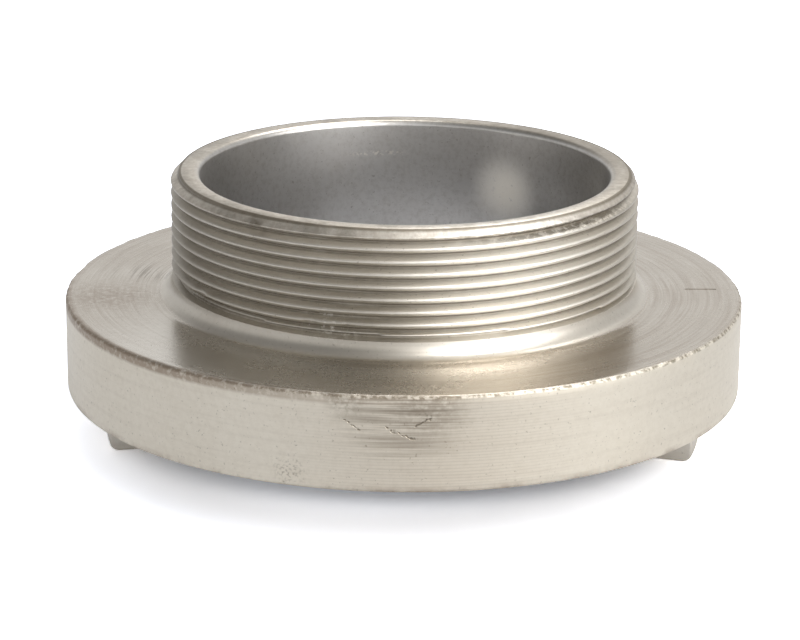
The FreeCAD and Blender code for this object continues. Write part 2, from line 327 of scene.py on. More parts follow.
def thread_tree(values, material):
    """Geometry Nodes that wind the thread's section up a helix and trim it, with an input for each value."""
    tree = bpy.data.node_groups.new("Pipe thread", "GeometryNodeTree")
    node = partial(add_node, tree)
    for name, value in values.items():
        kind = "NodeSocketInt" if isinstance(value, int) else "NodeSocketFloat"
        tree.interface.new_socket(name, in_out="INPUT", socket_type=kind)
    tree.interface.new_socket("Geometry", in_out="OUTPUT", socket_type="NodeSocketGeometry")
    given = node("NodeGroupInput", output="Crest radius").node.outputs

    # Section of one turn: a line along the pitch, sunk between crest and root. The sharp section stands past
    # both by a quarter of the depth, which is what this form of thread loses at its crests and roots
    row_count = node(MATH, [given["Rows"], 1.0], operation="ADD")
    line = node("GeometryNodeCurvePrimitiveLine")
    line = node("GeometryNodeResampleCurve", {"Curve": line, "Count": row_count})
    share = node("GeometryNodeSplineParameter", output="Factor")
    from_root = node(MATH, [share, 0.5], operation="SUBTRACT")
    from_root = node(MATH, [from_root], operation="ABSOLUTE")
    truncation = node(MATH, [given["Depth"], 4.0], operation="DIVIDE")
    above = node(MATH, [truncation, -1.0], operation="MULTIPLY")
    below = node(MATH, [truncation, given["Depth"]], operation="ADD")
    sharp = node(RAMP, [from_root, 0.5, 0.0, above, below])
    sunk = node(MATH, [sharp, given["Depth"], given["Rounding"]], operation="SMOOTH_MIN")
    sunk = node(MATH, [sunk, 0.0, given["Rounding"]], operation="SMOOTH_MAX")
    inwards = node(MATH, [sunk, -1.0], operation="MULTIPLY")
    rise = node(MATH, [share, given["Pitch"]], operation="MULTIPLY")
    down = node(MATH, [rise, -1.0], operation="MULTIPLY")
    girth = node(MATH, [given["Crest radius"], math.tau], operation="MULTIPLY")
    slope = node(MATH, [given["Pitch"], girth], operation="DIVIDE")
    upright = node(MATH, [rise, slope], operation="MULTIPLY")
    place = node(JOIN, [inwards, down, upright])
    section = node("GeometryNodeSetPosition", {"Geometry": line, "Position": place})

    # The section wound up the helix
    height = node(MATH, [given["Pitch"], given["Turns"]], operation="MULTIPLY")
    helix = node("GeometryNodeCurveSpiral", {
        "Resolution": given["Around"], "Rotations": given["Turns"], "Start Radius": given["Crest radius"],
        "End Radius": given["Crest radius"], "Height": height, "Reverse": True})
    helix = node("GeometryNodeSetCurveNormal", {"Curve": helix}, mode="Z_UP")
    lift = node(JOIN, [0.0, 0.0, given["First crest"]])
    helix = node("GeometryNodeTransform", {"Geometry": helix, "Translation": lift})
    wound = node("GeometryNodeCurveToMesh", {"Curve": helix, "Profile Curve": section})

    # Trimmed to the end chamfer, the collar's end and the run-out groove
    at = node("GeometryNodeInputPosition")
    x = node("ShaderNodeSeparateXYZ", [at])
    y, z = x.node.outputs["Y"], x.node.outputs["Z"]
    flat = node(JOIN, [x, y, 0.0])
    radius = node(VECTOR, [flat], output="Value", operation="LENGTH")
    outwards = node(VECTOR, [flat], operation="NORMALIZE")
    top = node(MATH, [z, given["Collar end"]], operation="MINIMUM")
    to_end = node(MATH, [given["Collar end"], top], operation="SUBTRACT")
    cone = node(MATH, [to_end, given["End chamfer"]], operation="SUBTRACT")
    cone = node(MATH, [cone, given["Crest radius"]], operation="ADD")
    trimmed = node(MATH, [radius, cone], operation="MINIMUM")
    ran_out = node("FunctionNodeCompare", [z, given["Run-out"]], operation="LESS_THAN")
    trimmed = node("GeometryNodeSwitch", [ran_out, trimmed, given["Run-out radius"]], input_type="FLOAT")
    height = node(MATH, [top, given["Run-out"]], operation="MAXIMUM")
    upwards = node(JOIN, [0.0, 0.0, height])
    place = node(VECTOR, [outwards, trimmed], operation="SCALE")
    place = node(VECTOR, [place, upwards], operation="ADD")
    cut = node("GeometryNodeSetPosition", {"Geometry": wound, "Position": place})
    cut = node("GeometryNodeMergeByDistance", {"Geometry": cut, "Distance": WELD})
    cut = node("GeometryNodeRealizeInstances", {"Geometry": cut})
    cut = node("GeometryNodeSetMaterial", {"Geometry": cut, "Material": material})
    node("NodeGroupOutput", {"Geometry": cut})
    return tree


def wind_thread(sizes, around, run_out, run_out_radius, material):
    """The collar's threaded skin, from the run-out groove to the collar's end, as a mesh."""
    root = COLLAR_END - sizes.first_root - sizes.pitch * sizes.root_azimuth / math.tau
    first_crest = root - sizes.pitch / 2
    while first_crest > run_out - 2 * sizes.pitch:
        first_crest -= sizes.pitch
    turns = math.ceil((COLLAR_END - first_crest) / sizes.pitch) + 1
    values = {
        "Crest radius": CREST_RADIUS, "Pitch": sizes.pitch, "Depth": sizes.depth, "Rounding": sizes.rounding,
        "Turns": float(turns), "Around": around, "Rows": sizes.rows, "First crest": first_crest,
        "Run-out": run_out, "Run-out radius": run_out_radius, "Collar end": COLLAR_END,
        "End chamfer": sizes.end_chamfer,
    }
    skin = object_from("thread_skin", bmesh.new())
    winding = skin.modifiers.new("Pipe thread", "NODES")
    winding.node_group = thread_tree(values, material)
    for socket in winding.node_group.interface.items_tree:
        if socket.in_out == "INPUT":
            winding[socket.identifier] = values[socket.name]
    take_modifiers(skin)
    mesh = skin.data
    bpy.data.objects.remove(skin)
    return mesh


# Coupling body

def body_outline(sizes, thread):
    """The section from the collar's end, down the waterway, round the face and up to the run-out groove."""
    shoulder_radius = BORE_RADIUS + sizes.seal_land
    seat_radius = shoulder_radius + sizes.shoulder
    seat_top = sizes.rim_face + sizes.seat_depth
    relief_start = DISC_BACK + sizes.foot_radius
    relief_floor = CREST_RADIUS - sizes.relief_depth
    return [
        (CREST_RADIUS - thread.end_chamfer, COLLAR_END, 0),
        (BORE_RADIUS, COLLAR_END, 1.1 * MM),
        (BORE_RADIUS, seat_top, 0.15 * MM),
        (seat_radius, seat_top, 0.3 * MM),
        (seat_radius, sizes.rim_face + sizes.shoulder_depth, 0.2 * MM),
        (shoulder_radius, sizes.rim_face + sizes.shoulder_depth, 0.2 * MM),
        (shoulder_radius, sizes.rim_face, 0.3 * MM),
        (sizes.hub_radius, sizes.rim_face, sizes.edge),
        (sizes.hub_radius, sizes.channel_floor, 0.9 * MM),
        (sizes.channel_radius, sizes.channel_floor, 0.9 * MM),
        (sizes.channel_radius, sizes.lip_top, 0.4 * MM),
        (sizes.lip_radius, sizes.lip_top, 0.35 * MM),
        (sizes.lip_radius, sizes.rim_face, 0.4 * MM),
        (RIM_RADIUS, sizes.rim_face, sizes.edge),
        (RIM_RADIUS, DISC_BACK, 0.75 * MM),
        (CREST_RADIUS, DISC_BACK, sizes.foot_radius),
        (CREST_RADIUS, relief_start + 0.02 * MM, 0),
        (relief_floor, relief_start + sizes.relief_width * 0.3, 0),
        (relief_floor, relief_start + sizes.relief_width * 0.7, 0),
    ]


def turned_body(sizes, thread, material):
    """The body as the lathe leaves it: one closed shell with its thread."""
    outline = split_long(rounded(body_outline(sizes, thread)), sizes.patch)
    work = bmesh.new()
    turn_outline(work, outline, sizes.around)
    work.from_mesh(wind_thread(thread, sizes.around, outline[-1].y, outline[-1].x, material))
    bmesh.ops.remove_doubles(work, verts=work.verts, dist=WELD)
    bmesh.ops.recalc_face_normals(work, faces=work.faces)
    return object_from("coupling_body_dressed", work)


def lip_ramp(sizes, half_turn):
    """Helical ramp on the channel side of the lip."""
    start = sizes.entry_turn + sizes.entry_arc / 2 + half_turn
    inner = sizes.lip_radius + sizes.ramp_land
    outer = sizes.channel_radius + 1 * MM
    low = sizes.rim_face + 1 * MM

    def outline(share):
        top = sizes.lip_top + sizes.ramp_rise * share
        return (inner, low), (outer, low), (outer, top), (inner + 0.3 * MM, top), (inner, top - 0.3 * MM)
    return swept_block("lip_ramp", outline, start, start + sizes.ramp_arc)


def entry_cut(sizes, half_turn):
    """The gap that lets the other half's lug into the channel."""
    middle = sizes.entry_turn + half_turn
    inner = sizes.lip_radius - 1 * MM
    low = sizes.rim_face - 1 * MM
    high = sizes.channel_floor - 1.5 * MM
    outer = sizes.channel_radius
    half = sizes.entry_arc / 2
    corners = (inner, low), (outer, low), (outer, high), (inner, high)
    return swept_block("entry_cut", lambda share: corners, middle - half, middle + half)


def hooked_lug(sizes, half_turn):
    """A lug that crosses the channel, stands out of the face and hooks outwards, with its edges eased."""
    half = sizes.lug_arc / 2
    corners = rounded([
        (sizes.hub_radius - 1 * MM, sizes.rim_face + 1 * MM, 0),
        (sizes.lug_inside, sizes.rim_face + 1 * MM, 0),
        (sizes.lug_inside, 0, 0.8 * MM),
        (sizes.lug_outside, 0, sizes.hook_round),
        (sizes.lug_outside, sizes.hook_height, 0.6 * MM),
        (sizes.stem_radius, sizes.hook_height, 0.8 * MM),
        (sizes.stem_radius, sizes.channel_floor + 1 * MM, 0),
        (sizes.hub_radius - 1 * MM, sizes.channel_floor + 1 * MM, 0),
    ])
    lug = swept_block(
        "hooked_lug", lambda share: corners, half_turn - half, half_turn + half, math.radians(1.5))
    eased = lug.modifiers.new("eased", "BEVEL")
    eased.width = sizes.edge
    eased.segments = 3
    eased.limit_method = "ANGLE"
    eased.angle_limit = math.radians(80)
    take_modifiers(lug)
    return lug


# Share of its width that the index line has at its floor
MARK_FLOOR = 0.6


def index_line(sizes):
    """The tool that cuts the short line in the disc's back."""
    middle = sizes.mark_turn
    half = sizes.mark_width / 2
    along = Vector((math.cos(middle), math.sin(middle), 0))
    aside = Vector((-along.y, along.x, 0))
    work = bmesh.new()
    bmesh.ops.create_cube(work, size=1)
    for corner in work.verts:
        above = corner.co.z > 0
        reach = sizes.mark_start + sizes.mark_length * (corner.co.x + 0.5)
        up = DISC_BACK + (2 * MM if above else -sizes.mark_depth)
        width = (half if above else MARK_FLOOR * half) * (1 if corner.co.y > 0 else -1)
        corner.co = along * reach + aside * width + Vector((0, 0, up))
    return object_from("index_line", work)


def knock(sizes, turn):
    """The ball that leaves a round hollow in the rim's back edge."""
    reach = RIM_RADIUS - sizes.dent_depth + sizes.dent_radius
    work = bmesh.new()
    bmesh.ops.create_uvsphere(work, u_segments=96, v_segments=64, radius=sizes.dent_radius)
    centre = reach * math.cos(turn), reach * math.sin(turn), DISC_BACK
    bmesh.ops.translate(work, verts=work.verts, vec=centre)
    return object_from("knock", work)


# Where the thread is chipped: azimuths in degrees, heights from the disc's back and deepest chip in mm, and
# the size of a chip along the thread in mm
CHIPPED = (
    (-80, -8, 20.5, 22.7, 0.7, 1.3),
    (-66, -14, 18.6, 20.5, 0.25, 1.3),
    (-62, -20, 15.6, 18.2, 0.35, 1.1),
    (-117, -94, 3.2, 6.4, 0.5, 0.9),
    (-155, -136, 3.2, 7.0, 0.6, 1.0),
    (-131, -119, 20.6, 23.4, 0.25, 0.7),
    (24, 150, 19.0, 22.0, 0.25, 1.3),
)


# How far the thread's skin and the rim's edge are worn
SKIN_WEAR = 0.035 * MM
EDGE_WEAR = 0.09 * MM

# A chip fades over this turn in degrees at its ends and over this height in mm, and shows where the noise is
# more than this much below nothing
FADE_TURN = 6
FADE_HEIGHT = 0.5
CHIP_SHARE = 0.12

# Where the thread starts and where the rim's edge ends, from the disc's back in mm
THREAD_START = 3.3
EDGE_END = -1.1


def wear(mesh, thread):
    """Chips the thread where it was knocked, dulls all of it a little, and makes the rim's edge uneven."""
    for vertex in mesh.vertices:
        place = vertex.co
        radius = math.hypot(place.x, place.y)
        up = (place.z - DISC_BACK) / MM
        outwards = Vector((place.x, place.y, 0)).normalized()
        if up > THREAD_START and radius > CREST_RADIUS - 1.9 * MM:
            crest = 1 - (CREST_RADIUS - radius) / thread.depth
            push = SKIN_WEAR * noise.noise(place / (1.1 * MM))
            turn = math.degrees(math.atan2(place.y, place.x))
            for start, end, low, high, deepest, chip in CHIPPED:
                if start < turn < end and low < up < high:
                    fade = min(turn - start, end - turn, FADE_TURN) / FADE_TURN
                    fade *= min(up - low, high - up, FADE_HEIGHT) / FADE_HEIGHT
                    rough = noise.noise(place / (chip * MM)) + 0.5 * noise.noise(place / (0.4 * chip * MM))
                    push -= max(0, rough + CHIP_SHARE) * deepest * MM * fade * max(0, crest)
            vertex.co = place + outwards * push
        elif radius > RIM_RADIUS - 1.3 * MM and up > EDGE_END:
            bruise = noise.noise(place / (3.2 * MM)) + 0.6 * noise.noise(place / (1.2 * MM))
            vertex.co = place - (outwards + Vector((0, 0, 1))) * EDGE_WEAR * max(-0.2, bruise)


def shade(mesh, sharpest, smooth_zone):
    """Smooth shading, with hard edges where faces meet at more than an angle outside the zone."""
    work = bmesh.new()
    work.from_mesh(mesh)
    for face in work.faces:
        face.smooth = True
    for edge in work.edges:
        hard = edge.calc_face_angle(0) > sharpest
        edge.smooth = not hard or smooth_zone(edge.verts[0].co)
    work.to_mesh(mesh)
    work.free()


def in_thread(place):
    """Whether a place is on the cut thread."""
    return place.z > DISC_BACK + 4 * MM and math.hypot(place.x, place.y) > BORE_RADIUS + 3.5 * MM


class COUPLING_OT_body(bpy.types.Operator):
    """Makes the turned body with its thread, lip ramps, entries and hooked lugs"""
    bl_idname = "coupling.body"
    bl_label = "Coupling body"

    def execute(self, context):
        sizes, thread = context.scene.coupling_body, context.scene.coupling_thread
        material = aluminium_material(context.scene.coupling_finish)
        body = turned_body(sizes, thread, material)
        for half_turn in (0, math.pi):
            combine(body, lip_ramp(sizes, half_turn), "UNION")
            combine(body, entry_cut(sizes, half_turn), "DIFFERENCE")
            combine(body, hooked_lug(sizes, half_turn), "UNION")
        combine(body, index_line(sizes), "DIFFERENCE")
        for turn in (sizes.first_dent, sizes.second_dent):
            combine(body, knock(sizes, turn), "DIFFERENCE")
        wear(body.data, thread)
        shade(body.data, math.radians(38), in_thread)
        check_closed(body.data)
        body.data.materials.clear()
        body.data.materials.append(material)
        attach(body, "root")
        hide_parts("coupling_body")
        return {"FINISHED"}


class COUPLING_OT_seal(bpy.types.Operator):
    """Makes the rubber sealing ring with its rounded edges"""
    bl_idname = "coupling.seal"
    bl_label = "Sealing ring"

    def execute(self, context):
        sizes, body = context.scene.coupling_seal, context.scene.coupling_body
        inner = BORE_RADIUS + sizes.inset
        neck = BORE_RADIUS + body.seal_land - sizes.gap
        foot = neck + body.shoulder
        face = body.rim_face - sizes.proud
        foot_low = body.rim_face + body.shoulder_depth + sizes.gap
        top = body.rim_face + body.seat_depth
        corners = [
            (inner, (face + top) / 2, 0),
            (inner, face, sizes.edge),
            (neck, face, sizes.edge),
            (neck, foot_low, 0.15 * MM),
            (foot, foot_low, 0.3 * MM),
            (foot, top, 0.3 * MM),
            (inner, top, 0.3 * MM),
            (inner, (face + top) / 2, 0),
        ]
        work = bmesh.new()
        turn_outline(work, rounded(corners), sizes.around)
        bmesh.ops.remove_doubles(work, verts=work.verts, dist=WELD)
        bmesh.ops.recalc_face_normals(work, faces=work.faces)
        ring = object_from("sealing_ring_dressed", work)
        shade(ring.data, math.radians(50), lambda place: False)
        check_closed(ring.data)
        ring.data.materials.append(rubber_material(context.scene.coupling_finish))
        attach(ring, "root")
        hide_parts("sealing_ring")
        return {"FINISHED"}


# Materials

def new_material(name):
    """A material with a bare Principled shader, as (itself, its tree, the shader)."""
    material = bpy.data.materials.new(name)
    material.use_nodes = True
    return material, material.node_tree, material.node_tree.nodes["Principled BSDF"]


def from_axis(radius, turn, height):
    """A place given by radius and height in mm and azimuth in degrees."""
    angle = math.radians(turn)
    return radius * MM * math.cos(angle), radius * MM * math.sin(angle), height * MM


# What the zones below are measured from: a height or a radius, and the level in metres where it counts as 0
BASES = {
    "feet": ("height", 0), "disc": ("height", DISC_BACK), "end": ("height", COLLAR_END),
    "bore": ("radius", BORE_RADIUS), "crest": ("radius", CREST_RADIUS), "rim": ("radius", RIM_RADIUS),
}

# Zones of the surface, each the product of ramps: a base, and where the zone has nothing and all of it, in mm
ZONES = {
    "groove": (("crest", -1.1, -1.45), ("disc", 3, 4), ("bore", 3.4, 3.6)),
    "collar": (("disc", 1.5, 4), ("bore", 0.8, 1.4)),
    "thread": (("disc", 1.5, 4), ("end", -1.2, -1.8), ("bore", 0.8, 1.4)),
    "disc": (("disc", -0.3, -0.02), ("disc", 0.5, 0.1), ("bore", 2, 3)),
    "rim_side": (("rim", -0.6, -0.15),),
    "worn_edge": (("disc", -0.7, -0.4), ("rim", -0.6, -0.3)),
    "brown_band": (("disc", -2.0, -1.4), ("rim", -1.3, -0.8)),
    "collar_top": (("end", -1.9, -1.5), ("bore", 0.1, 0.8)),
    "first_crest": (("end", -1.0, -1.4), ("end", -3.1, -2.6), ("bore", 3, 4)),
    "face_edge": (("feet", 12.6, 11.5), ("rim", -1.2, -0.6)),
    "bore": (("bore", 0.6, 0.1),),
    "speck_row": (("feet", 44.9, 45.3), ("feet", 46.1, 45.7)),
    "face_side": (("feet", 27.2, 26.5), ("rim", -0.6, -1.5)),
}

# Radii that marks are placed at, in mm
ON_RIM = 64
ON_THREAD = 44
IN_BORE = 38.5

# Marks, painted shade and painted highlights that sit in one place: centre, and how far they reach, in metres
SPOTS = {
    "brown_stain": (from_axis(56, -171, 28.7), 12 * MM),
    "chatter": (from_axis(50, 172, 28.7), 10 * MM),
    "scuffed_top": (from_axis(ON_RIM, -88, 28.2), 15 * MM),
    "first_smudge": (from_axis(ON_RIM, -97, 28), 5 * MM),
    "second_smudge": (from_axis(ON_RIM, -84, 28), 9 * MM),
    "lined_middle": (from_axis(ON_RIM, -82, 21), 34 * MM),
    "brown_edge": (from_axis(ON_RIM, -147, 28.7), 84 * MM),
    "rusty_pits": (from_axis(ON_RIM, -106, 14), 4 * MM),
    "dark_bits": (from_axis(43.6, -150, 34), 9 * MM),
    "torn_crest": (from_axis(43.9, -105.5, 31.5), 9 * MM),
    "dull_neck": (from_axis(47, -98, 32.5), 17 * MM),
    "white_specks": (from_axis(IN_BORE, 100, 45.5), 8 * MM),
    "dull_top": (from_axis(41, 30, 52), 44 * MM),
    "rubbed": (from_axis(ON_THREAD, -64, 40), 30 * MM),
    "left_shade": (from_axis(ON_THREAD, -174, 36), 42 * MM),
    "right_shade": (from_axis(ON_THREAD, -6, 38), 34 * MM),
    "dirty_start": (from_axis(ON_THREAD, -125, 51), 3.5 * MM),
    "second_dirty_start": (from_axis(ON_THREAD, -42, 50), 30 * MM),
    "matt_patch": (from_axis(IN_BORE, 60, 39.4), 9 * MM),
    "mirror": (from_axis(56, -118, 28.7), 46 * MM),
}


# Cracks of the casting that came open in the rim: both ends as azimuth in degrees and height in mm
CRACKS = (
    (-97.6, 24.4, -94.4, 22.2),
    (-91, 23, -86.2, 20.9),
    (-86.4, 23.4, -83.8, 25.2),
)


def surface_places(tree):
    """Sockets that say where a point is: place, radius, height, the way out, its zones and its spots."""
    node = partial(add_node, tree)
    at = node("ShaderNodeTexCoord", output="Object")
    x = node("ShaderNodeSeparateXYZ", [at])
    y, height = x.node.outputs["Y"], x.node.outputs["Z"]
    flat = node(JOIN, [x, y, 0.0])
    place = {
        "at": at, "height": height,
        "radius": node(VECTOR, [flat], output="Value", operation="LENGTH"),
        "outwards": node(VECTOR, [flat], operation="NORMALIZE"),
    }
    for name, ramps in ZONES.items():
        share = 1.0
        for base, nothing, full in ramps:
            measure, level = BASES[base]
            ramp = node(RAMP, [place[measure], level + nothing * MM, level + full * MM])
            share = node(MATH, [ramp, share], operation="MULTIPLY")
        place[name] = share
    for name, (centre, reach) in SPOTS.items():
        away = node(VECTOR, [at, centre], output="Value", operation="DISTANCE")
        place[name] = node(RAMP, [away, reach, 0.1 * reach], interpolation_type="SMOOTHSTEP")
    return place


# How much the radius counts beside the height in the lathe marks, which so run over level faces too
RADIUS_IN_MARKS = 1.31


def surface_patterns(tree, place):
    """Sockets with the patterns of the metal: tool marks, mottling, specks, scratches, pits and cracks."""
    node = partial(add_node, tree)
    at = place["at"]
    across = node(MATH, [place["radius"], RADIUS_IN_MARKS, place["height"]], operation="MULTIPLY_ADD")
    lift = node(JOIN, [0.0, 0.0, across])
    pattern = {}

    # Lathe marks: streaks about 20 mm long around the axis and 0.9 or 0.35 mm across it
    for name, turns, width in (("broad_marks", 2.4, 0.9 * MM), ("fine_marks", 4.0, 0.35 * MM)):
        streak = node(VECTOR, [place["outwards"], (turns, turns, 0)], operation="MULTIPLY")
        streak = node(VECTOR, [lift, (0, 0, 1 / width), streak], operation="MULTIPLY_ADD")
        pattern[name] = node(NOISE, {"Vector": streak, "Scale": 1.0, "Detail": 2.0})

    # Feed marks, one each 0.56 mm, which show where the rim is less scuffed
    wobble = node(MATH, [pattern["broad_marks"], 0.5 * MM, place["height"]], operation="MULTIPLY_ADD")
    feed = node(MATH, [wobble, math.tau / (0.56 * MM)], operation="MULTIPLY")
    pattern["feed_marks"] = node(MATH, [feed], operation="SINE")

    # Noises by size in mm
    for name, size, detail, roughness, distortion in (
            ("clouds", 17, 3.0, 0.55, 0.0), ("blotches", 5.5, 4.0, 0.6, 0.2),
            ("mottling", 1.1, 3.0, 0.7, 0.0), ("specks", 0.5, 1.0, 0.5, 0.0)):
        pattern[name] = node(NOISE, {
            "Vector": at, "Scale": 1 / (size * MM), "Detail": detail, "Roughness": roughness,
            "Distortion": distortion})

    # Scratches about 7 mm long in two directions, drawn 0.2 mm wide so that they show
    scratched = 0.0
    for turn in (math.radians(18), math.radians(-52)):
        along = node("ShaderNodeMapping", {
            "Vector": at, "Rotation": (0.1, 0.2, turn),
            "Scale": (1 / (7 * MM), 1 / (0.2 * MM), 1 / (1.5 * MM))}, vector_type="POINT")
        line = node(NOISE, {"Vector": along, "Scale": 1.0, "Detail": 1.0})
        line = node(RAMP, [line, 0.57, 0.64])
        scratched = node(MATH, [line, scratched], operation="MAXIMUM")
    pattern["scratches"] = scratched

    # Pits of the casting, and cracks about 0.35 mm wide that bend and break up
    pattern["pits"] = node(RAMP, [pattern["specks"], 0.62, 0.7])
    bend = node(NOISE, {"Vector": at, "Scale": 1 / (1.4 * MM)}, output="Color")
    bent = node(VECTOR, [bend, (1.6 * MM,) * 3, at], operation="MULTIPLY_ADD")
    bent = node(VECTOR, [bent, (0.8 * MM,) * 3], operation="SUBTRACT")
    nearest = 1.0
    for start_turn, start_height, end_turn, end_height in CRACKS:
        start = Vector(from_axis(ON_RIM, start_turn, start_height))
        along = Vector(from_axis(ON_RIM, end_turn, end_height)) - start
        away = node(VECTOR, [bent, start], operation="SUBTRACT")
        share = node(VECTOR, [away, along / along.length_squared], output="Value", operation="DOT_PRODUCT")
        share = node("ShaderNodeClamp", [share])
        reached = node(VECTOR, [along, share], operation="SCALE")
        away = node(VECTOR, [away, reached], output="Value", operation="DISTANCE")
        nearest = node(MATH, [away, nearest], operation="MINIMUM")
    breaks = node(MATH, [pattern["specks"], 0.5 * MM, nearest], operation="MULTIPLY_ADD")
    pattern["cracks"] = node(RAMP, [breaks, 0.48 * MM, 0.3 * MM])
    return pattern


def aluminium_material(colours):
    """Cast aluminium, turned and gone dull: satin, warm grey, with tool marks, scuffs, pits and old oil, and
    with painted shade and highlights in places.
    """
    material, tree, shader = new_material("Turned aluminium")
    node = partial(add_node, tree)
    place = surface_places(tree)
    pattern = surface_patterns(tree, place)
    oxide, grime_and_shade, bright = srgb(colours.oxide), srgb(colours.grime_and_shade), srgb(colours.scuffed_and_highlight)
    warm = srgb(colours.weathered)

    # How much of each tint lies over the bare metal: a pattern between two levels, times zones and spots
    tints = (
        ("clouds", 0.4, 0.75, 0.14, (), oxide),
        ("clouds", 0.0, 0.3, 0.8, ("rim_side",), warm),
        ("clouds", 0.0, 0.4, 0.32, ("disc",), oxide),
        ("mottling", 0.45, 0.75, 0.1, (), oxide),
        ("mottling", 0.5, 0.25, 0.08, (), bright),
        ("fine_marks", 0.5, 0.72, 0.16, ("disc",), grime_and_shade),
        ("fine_marks", 0.45, 0.25, 0.2, ("disc",), bright),
        ("broad_marks", 0.48, 0.66, 0.3, ("disc",), oxide),
        ("broad_marks", 0.5, 0.8, 0.12, ("rim_side",), oxide),
        ("feed_marks", 0.1, 1.0, 0.16, ("lined_middle",), grime_and_shade),
        ("mottling", 0.35, 0.6, 0.75, ("brown_stain", "disc"), oxide),
        ("broad_marks", 0.46, 0.6, 0.65, ("scuffed_top", "rim_side"), grime_and_shade),
        ("fine_marks", 0.47, 0.6, 0.6, ("scuffed_top", "rim_side"), grime_and_shade),
        ("mottling", 0.36, 0.58, 0.4, ("first_smudge", "rim_side"), grime_and_shade),
        ("mottling", 0.36, 0.58, 0.4, ("second_smudge", "rim_side"), grime_and_shade),
        ("fine_marks", 0.52, 0.64, 0.5, ("chatter",), grime_and_shade),
        # Painted light: the disc lightened where it mirrors the collar, so that the reflection shows
        # brighter. The scratches in the same place below are real marks
        ("clouds", 0.0, 0.2, 0.7, ("mirror", "disc"), bright),
        ("scratches", 0.0, 1.0, 0.35, ("mirror", "disc"), bright),
        ("clouds", 0.0, 0.3, 0.26, ("lined_middle", "rim_side"), oxide),
        ("clouds", 0.0, 0.4, 0.44, ("left_shade", "thread"), grime_and_shade),
        ("clouds", 0.0, 0.4, 0.26, ("right_shade", "thread"), grime_and_shade),
        # Painted highlight: the collar's right front lightened where the soft boxes light it
        ("clouds", 0.0, 0.3, 0.95, ("rubbed", "collar"), bright),
        # Painted shade: the neck's fillet darkened left of where the key light's highlight starts
        ("clouds", 0.0, 0.3, 0.3, ("dull_neck",), grime_and_shade),
        ("mottling", 0.3, 0.6, 0.34, ("collar_top",), oxide),
        ("blotches", 0.5, 0.62, 0.28, ("collar_top",), grime_and_shade),
        ("clouds", 0.0, 0.3, 0.5, ("dull_top", "collar_top"), grime_and_shade),
        ("blotches", 0.4, 0.58, 0.7, ("dirty_start",), grime_and_shade),
        ("mottling", 0.4, 0.54, 0.7, ("second_dirty_start", "first_crest"), grime_and_shade),
        ("clouds", 0.0, 0.4, 0.8, ("groove",), grime_and_shade),
        ("mottling", 0.56, 0.46, 0.2, ("worn_edge",), bright),
        ("mottling", 0.44, 0.58, 0.75, ("worn_edge",), grime_and_shade),
        ("mottling", 0.2, 0.5, 0.9, ("brown_band", "brown_edge"), oxide),
        ("mottling", 0.48, 0.68, 0.12, ("bore",), grime_and_shade),
        ("blotches", 0.45, 0.6, 0.55, ("face_edge",), oxide),
        ("specks", 0.68, 0.78, 0.4, (), grime_and_shade),
        ("specks", 0.5, 0.66, 0.4, ("rusty_pits",), grime_and_shade),
        ("specks", 0.46, 0.54, 0.9, ("dark_bits", "groove"), grime_and_shade),
        ("mottling", 0.52, 0.6, 0.6, ("torn_crest", "collar"), bright),
        ("cracks", 0.0, 1.0, 0.8, ("rim_side",), grime_and_shade),
        ("specks", 0.5, 0.56, 1.0, ("white_specks", "speck_row"), bright),
        # Painted highlight: a bright patch on the bore's back right wall, which is also made rougher below
        ("mottling", 0.2, 0.4, 1.0, ("matt_patch",), bright),
    )
    bare, waterway = srgb(colours.aluminium), srgb(colours.waterway)
    colour = node("ShaderNodeMix", [place["bore"], bare, waterway], data_type="RGBA")
    for name, low, high, most, where, tint in tints:
        share = node(RAMP, [pattern[name], low, high, 0.0, most])
        for part in where:
            share = node(MATH, [share, place[part]], operation="MULTIPLY")
        colour = node("ShaderNodeMix", [share, colour, tint], data_type="RGBA")
    tree.links.new(colour, shader.inputs["Base Color"])

    # Roughness: matt on the rim, satin on the thread, semi-gloss on the disc, and patchy all over
    rough = 0.34
    for name, more in (("rim_side", 0.16), ("disc", -0.07), ("collar", 0.13), ("worn_edge", 0.1),
                       ("groove", 0.08), ("face_side", 0.08), ("collar_top", -0.02), ("bore", -0.02),
                       ("matt_patch", 0.36)):
        rough = node(MATH, [place[name], more, rough], operation="MULTIPLY_ADD")
    for name, more in (("clouds", 0.1), ("mottling", 0.06)):
        patchy = node(MATH, [pattern[name], 0.5], operation="SUBTRACT")
        rough = node(MATH, [patchy, more, rough], operation="MULTIPLY_ADD")
    tree.links.new(rough, shader.inputs["Roughness"])

    # Relief, in millimetres
    relief = 0.0
    for name, depth, where in (("broad_marks", 0.006, None), ("fine_marks", 0.004, None),
                               ("mottling", 0.008, "rim_side"), ("cracks", -0.07, "rim_side"),
                               ("pits", -0.03, "rusty_pits"), ("fine_marks", 0.008, "chatter"),
                               ("mottling", 0.05, "worn_edge"), ("mottling", 0.03, "collar_top")):
        height = pattern[name]
        if where:
            height = node(MATH, [height, place[where]], operation="MULTIPLY")
        relief = node(MATH, [height, depth, relief], operation="MULTIPLY_ADD")
    bump = node("ShaderNodeBump", {"Height": relief, "Strength": 1.0, "Distance": MM})
    tree.links.new(bump, shader.inputs["Normal"])
    shader.inputs["Metallic"].default_value = 1
    return material


